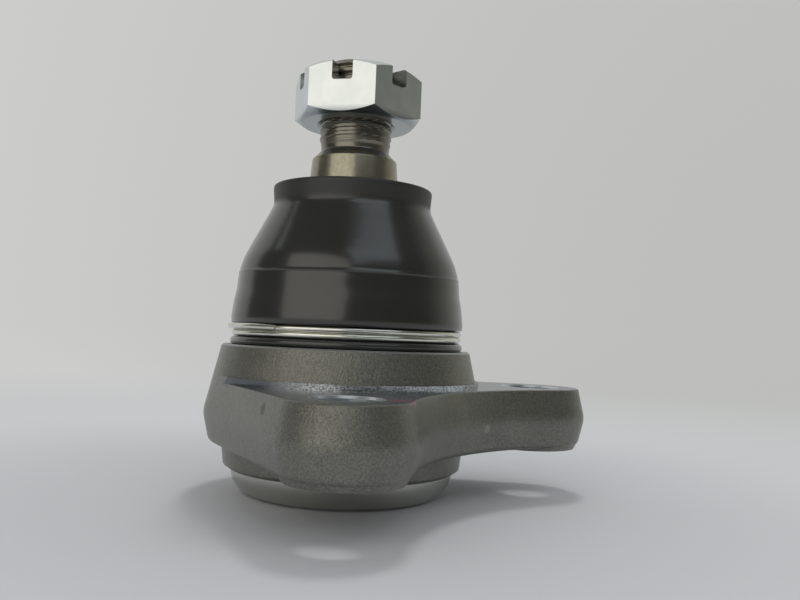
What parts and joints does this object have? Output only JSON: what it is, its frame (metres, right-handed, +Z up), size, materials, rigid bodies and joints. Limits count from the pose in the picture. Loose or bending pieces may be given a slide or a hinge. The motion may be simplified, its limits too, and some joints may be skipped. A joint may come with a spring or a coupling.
{
  "type": "suspension ball joint",
  "caption": "Suspension ball joint: forged housing with two bolt ears, tapered and threaded ball stud in split seats, rubber dust boot with clamp ring, closing cap and slotted nut.",
  "frame": {"origin": "centre of the rest face under the closing cap, on the stud's axis", "axes": "+Z up along the stud; the two ears point towards -Y and lie mirrored about the YZ plane, so +X runs from one bolt hole to the other"},
  "size_m": [0.082, 0.0617, 0.082],
  "materials": {
    "forged_housing": "dark, shot-blasted forging with milled faces",
    "pressed_cap": "pressed, dull grey",
    "spring_steel": "plain spring steel",
    "bearing_plastic": "moulded, natural white",
    "ground_stud": "ground taper, rolled thread, oiled",
    "boot_rubber": "moulded, semi-gloss",
    "ring_wire": "bright drawn wire",
    "zinc_nut": "bright zinc plating"
  },
  "bodies": {
    "housing_body": {"housing": "forged_housing", "closing_cap": "pressed_cap", "disc_spring": "spring_steel", "upper_ball_seat": "bearing_plastic", "dust_boot": "boot_rubber", "boot_clamp_ring": "ring_wire"},
    "seat_body": {"lower_ball_seat": "bearing_plastic"},
    "collar_body": {"boot_lip_insert": "spring_steel"},
    "stud_body": {"ball_stud": "ground_stud"},
    "nut_body": {"slotted_nut": "zinc_nut"}
  },
  "joints": [
    {"name": "seat_swivel", "type": "hinge", "parent": "housing_body", "child": "seat_body", "pos_m": [0, 0, 0.021], "axis": [0, 0, 1], "continuous": true},
    {"name": "stud_tilt", "type": "hinge", "parent": "seat_body", "child": "collar_body", "pos_m": [0, 0, 0.021], "axis": [1, 0, 0], "range_deg": [-25, 25], "deforming": ["dust_boot"]},
    {"name": "stud_spin", "type": "hinge", "parent": "collar_body", "child": "stud_body", "pos_m": [0, 0, 0.021], "axis": [0, 0, 1], "continuous": true},
    {"name": "nut_turn", "type": "hinge", "parent": "stud_body", "child": "nut_body", "pos_m": [0, 0, 0.0755], "axis": [0, 0, 1], "continuous": true}
  ]
}
